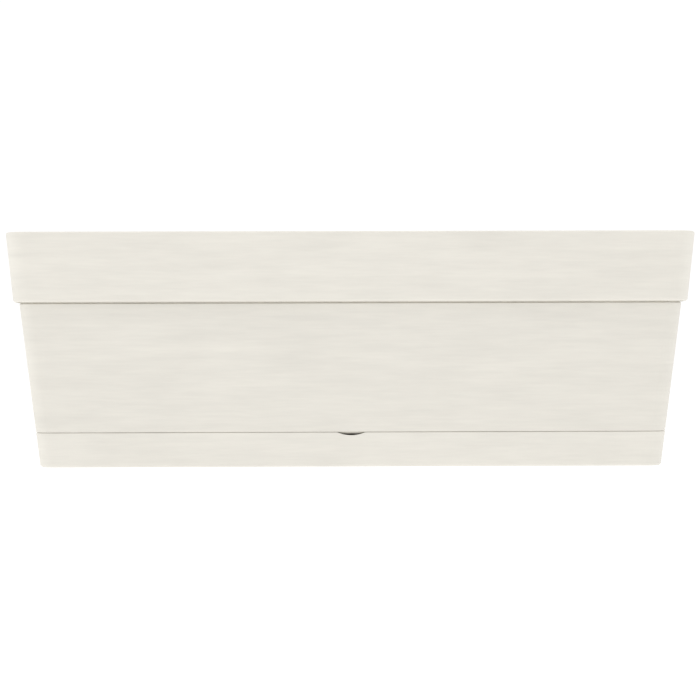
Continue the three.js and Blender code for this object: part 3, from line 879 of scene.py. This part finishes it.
def cap_spigot():
    under = MOUTH + SEAT_GAP
    outside = TUBE_RADIUS - TUBE_WALL - SPIGOT_GAP
    return turned("spigot", [
        (outside - SPIGOT_WALL, under - SPIGOT_DEPTH, EDGE),
        (outside, under - SPIGOT_DEPTH, EDGE),
        (outside, under + CAP_THICKNESS / 2, 0),
        (outside - SPIGOT_WALL, under + CAP_THICKNESS / 2, 0),
    ], tube.x, tube.y)


def cap_arm():
    """Joins the lid to the knuckle."""
    reach = HINGE_RISE - SEAT_GAP
    low = (tube.x + TUBE_RADIUS - ARM_OVERLAP, tube.y - KNUCKLE_HALF, HINGE_Z - reach)
    return block("arm", low, (HINGE_X, tube.y + KNUCKLE_HALF, HINGE_Z + reach))


def cap_tab():
    """The thumb tab on the side away from the hinge."""
    under = MOUTH + SEAT_GAP
    inside = tube.x - TUBE_RADIUS - CAP_OVERHANG + MM
    low = (inside - TAB, tube.y - 1.5 * TAB, under)
    high = (inside, tube.y + 1.5 * TAB, under + TAB_THICKNESS)
    return soften(block("tab", low, high), EDGE)


def tab_ridges():
    top = MOUTH + SEAT_GAP + TAB_THICKNESS
    first = tube.x - TUBE_RADIUS - TAB
    return [
        cross_pin("ridge", RIDGE_RADIUS, tube.y - TAB, tube.y + TAB, first + i * RIDGE_PITCH, top)
        for i in range(RIDGES)
    ]


def cap_knuckle():
    ends = tube.y - KNUCKLE_HALF, tube.y + KNUCKLE_HALF
    return soften(cross_pin("knuckle", KNUCKLE_RADIUS, *ends, HINGE_X, HINGE_Z), FINE_EDGE)


def fill_cap():
    piece = cap_lid()
    join(piece, cap_spigot())
    join(piece, cap_arm(), cap_tab())
    join(piece, cap_knuckle(), *tab_ridges())
    cut(piece, cross_pin("bore", PIN_BORE, tube.y - EAR_INSIDE, tube.y + EAR_INSIDE, HINGE_X, HINGE_Z))
    finish_piece(piece, "grey_plastic", "cap", "fill_cap")


def cap_hinge_pin():
    """A headed pin through both ears and the knuckle, turned upright and then laid along Y."""
    head_radius = (pin_high[2] - pin_low[2]) / 2
    under_head = EAR_INSIDE + EAR_WIDTH + SEAT_GAP
    piece = turned("hinge_pin", [
        (0, pin_low[1] - tube.y, 0),
        (PIN_RADIUS, pin_low[1] - tube.y, EDGE),
        (PIN_RADIUS, under_head, 0),
        (head_radius, under_head, HAIR_EDGE),
        (head_radius, pin_high[1] - tube.y, FINE_EDGE),
        (0, pin_high[1] - tube.y, 0),
    ], 0, 0, SMALL_ROUND)
    lying = Matrix.Rotation(-math.pi / 2, 4, "X")
    piece.data.transform(Matrix.Translation((HINGE_X, tube.y, HINGE_Z)) @ lying)
    finish_piece(piece, "steel", "tube", "cap_hinge_pin")


# ---- Level indicator ----------------------------------------------------------------------------


def indicator_sleeve():
    """Holds the float below the floor and the sight tube's foot above it."""
    shelf = sight.low - SEAT_GAP
    base = sleeve.low + SLEEVE_BASE
    piece = turned("sleeve", [
        (SLEEVE_LEDGE, sleeve.low, FINE_EDGE),
        (SLEEVE_RADIUS, sleeve.low, EDGE),
        (SLEEVE_RADIUS, SEAT, FINE_EDGE),
        (sleeve.radius, SEAT, FINE_EDGE),
        (sleeve.radius, SEAT + FLANGE, EDGE),
        (SOCKET_RADIUS, SEAT + FLANGE, BLUNT_EDGE),
        (SOCKET_RADIUS, sleeve.high, EDGE),
        (SOCKET_BORE, sleeve.high, EDGE),
        (SOCKET_BORE, shelf, HAIR_EDGE),
        (SLEEVE_BORE, shelf, HAIR_EDGE),
        (SLEEVE_BORE, base, FINE_EDGE),
        (SLEEVE_LEDGE, base, FINE_EDGE),
    ], sleeve.x, sleeve.y)
    height = upright("level_float").high - base
    cut(piece, *radial_slots(sleeve.x, sleeve.y, base + height / 2, 4, height, SLEEVE_GATE,
                             SLEEVE_LEDGE, sleeve.radius, 0))
    finish_piece(piece, "grey_plastic", "indicator", "indicator_sleeve")


def sight_tube():
    piece = turned("sight", [
        (SIGHT_BORE, sight.low, FINE_EDGE),
        (sight.radius, sight.low, FINE_EDGE),
        (sight.radius, sight.high, FINE_EDGE),
        (SIGHT_BORE, sight.high, FINE_EDGE),
    ], sight.x, sight.y)
    finish_piece(piece, "clear_plastic", "indicator", "sight_tube")


def indicator_cap():
    cap = upright("indicator_cap")
    seat = sight.high + SEAT_GAP
    plug_radius = SIGHT_BORE - SEAT_GAP
    piece = turned("sight_cap", [
        (0, cap.low, 0),
        (plug_radius, cap.low, EDGE),
        (plug_radius, seat, HAIR_EDGE),
        (cap.radius, seat, HAIR_EDGE),
        (cap.radius, cap.high, BLUNT_EDGE),
        (cap.radius - CAP_RIM, cap.high, FINE_EDGE),
        (cap.radius - CAP_RIM - CAP_DISH, cap.high - CAP_DISH, FINE_EDGE),
        (0, cap.high - CAP_DISH, 0),
    ], cap.x, cap.y)
    finish_piece(piece, "grey_plastic", "indicator", "indicator_cap")


def rod_guide():
    """A vented disc with a hub, near the foot of the sight tube, that keeps the rod upright."""
    guide = upright("rod_guide")
    bore = rod.radius + SEAT_GAP
    disc_top = guide.low + GUIDE_DISC
    piece = turned("guide", [
        (bore, guide.low, HAIR_EDGE),
        (guide.radius, guide.low, FINE_EDGE),
        (guide.radius, disc_top, FINE_EDGE),
        (HUB_RADIUS, disc_top, EDGE),
        (HUB_RADIUS, guide.high, EDGE),
        (bore, guide.high, HAIR_EDGE),
    ], guide.x, guide.y, SMALL_ROUND)
    angles = [2 * math.pi * i / 3 for i in range(3)]
    cut(piece, *[
        post("vent", GUIDE_VENT, guide.low - MM, disc_top + MM,
             guide.x + GUIDE_VENT_AT * math.cos(a), guide.y + GUIDE_VENT_AT * math.sin(a), SMALL_ROUND // 2)
        for a in angles
    ])
    finish_piece(piece, "grey_plastic", "indicator", "rod_guide")


def level_float():
    foam = upright("level_float")
    hole = rod.radius + SEAT_GAP
    piece = turned("float", [
        (0, foam.low, 0),
        (foam.radius, foam.low, ROUND_EDGE),
        (foam.radius, foam.high, ROUND_EDGE),
        (hole, foam.high, FINE_EDGE),
        (hole, foam.high - FLOAT_HOLE_DEPTH, 0),
        (0, foam.high - FLOAT_HOLE_DEPTH, 0),
    ], foam.x, foam.y)
    finish_piece(piece, "white_foam", "float", "level_float")


def indicator_rod():
    piece = turned("rod", [
        (0, rod.low, 0),
        (rod.radius, rod.low, HAIR_EDGE),
        (rod.radius, rod.high, HAIR_EDGE),
        (0, rod.high, 0),
    ], rod.x, rod.y, SMALL_ROUND)
    finish_piece(piece, "white_plastic", "float", "indicator_rod")


def rod_tip():
    """The coloured marker, pushed on to the top of the rod."""
    tip = upright("rod_tip")
    hole = rod.radius + SEAT_GAP
    piece = turned("tip", [
        (0, tip.low + TIP_OVERLAP + SEAT_GAP, 0),
        (hole, tip.low + TIP_OVERLAP + SEAT_GAP, 0),
        (hole, tip.low, HAIR_EDGE),
        (tip.radius, tip.low, EDGE),
        (tip.radius, tip.high, ROUND_EDGE),
        (0, tip.high, 0),
    ], tip.x, tip.y, SMALL_ROUND)
    finish_piece(piece, "red_plastic", "float", "rod_tip")


# ---- Stage, lights and camera -------------------------------------------------------------------

CAMERA_DISTANCE = 1.8
CAMERA_AZIMUTH = math.radians(-0.65)
CAMERA_ROLL = math.radians(-0.16)
LENS = 107.36
AIM_HEIGHT = 0.4986 * HEIGHT
AIM_X = -1.2 * MM
DOME_LIGHT = 0.74
WHITE_GROUND = 1.05
FLOOR_GLOW = 0.98
FLOOR_HALF = 9.0

SoftBox = namedtuple("SoftBox", "name place aim size power")
SOFT_BOXES = [
    SoftBox("top", (0, -0.2, 2.2), (0, 0, 0), (2.4, 1.6), 16),
    SoftBox("left", (-2.0, 0.1, 0.7), (0, 0, 0.1), (1.2, 1.2), 4),
    SoftBox("right", (2.0, 0.1, 0.7), (0, 0, 0.1), (1.2, 1.2), 3),
    SoftBox("front_left", (-1.6, -1.8, 0.6), (-0.2, -0.1, 0.1), (1.2, 1.2), 2.5),
]


def stage():
    """A glowing white table, so that nothing under the object goes grey."""
    signs = [(-1, -1), (1, -1), (1, 1), (-1, 1)]
    mesh = mesh_from("floor", [(x * FLOOR_HALF, y * FLOOR_HALF, 0) for x, y in signs], [(0, 1, 2, 3)])
    material, _, shader = start_material("floor", (0.15, 0.15, 0.15), 0.9)
    shader.inputs["Specular IOR Level"].default_value = 0.1
    shader.inputs["Emission Color"].default_value = (1, 1, 1, 1)
    shader.inputs["Emission Strength"].default_value = FLOOR_GLOW
    mesh.materials.append(material)
    new_object("floor", mesh)


def soft_light(box):
    lamp = bpy.data.lights.new(box.name, "AREA")
    lamp.shape = "RECTANGLE"
    lamp.size, lamp.size_y = box.size
    lamp.energy = box.power
    holder = bpy.data.objects.new(box.name, lamp)
    holder.location = box.place
    direction = Vector(box.aim) - Vector(box.place)
    holder.rotation_euler = direction.to_track_quat("-Z", "Y").to_euler()
    bpy.context.scene.collection.objects.link(holder)


def lighting():
    """An even dome with soft boxes above and to both sides, in front of a white ground."""
    world = bpy.data.worlds.new("studio")
    world.use_nodes = True
    tree = world.node_tree
    background = tree.nodes["Background"]
    background.inputs["Color"].default_value = (1, 1, 1, 1)
    rays = tree.nodes.new("ShaderNodeLightPath")
    strength = spread(tree, rays.outputs["Is Camera Ray"], DOME_LIGHT, WHITE_GROUND, 0, 1)
    tree.links.new(strength, background.inputs["Strength"])
    bpy.context.scene.world = world
    bpy.context.scene.view_settings.view_transform = "Standard"
    for box in SOFT_BOXES:
        soft_light(box)


def camera():
    lens = bpy.data.cameras.new("camera")
    lens.lens = LENS
    holder = bpy.data.objects.new("camera", lens)
    aim = Matrix.Translation((AIM_X, -HALF_WIDTH, AIM_HEIGHT))
    orbit = Matrix.Rotation(CAMERA_AZIMUTH, 4, "Z") @ Matrix.Translation((0, -CAMERA_DISTANCE, 0))
    level = Matrix.Rotation(math.pi / 2, 4, "X") @ Matrix.Rotation(CAMERA_ROLL, 4, "Z")
    holder.matrix_world = aim @ orbit @ level
    bpy.context.scene.collection.objects.link(holder)
    bpy.context.scene.camera = holder


camera()
stage()
lighting()
trough()
tray()
drain_plug()
plug_gasket()
for number, cup in enumerate(cups, start=1):
    wicking_cup(number, cup)
fill_tube()
fill_cap()
cap_hinge_pin()
indicator_sleeve()
sight_tube()
indicator_cap()
rod_guide()
level_float()
indicator_rod()
rod_tip()
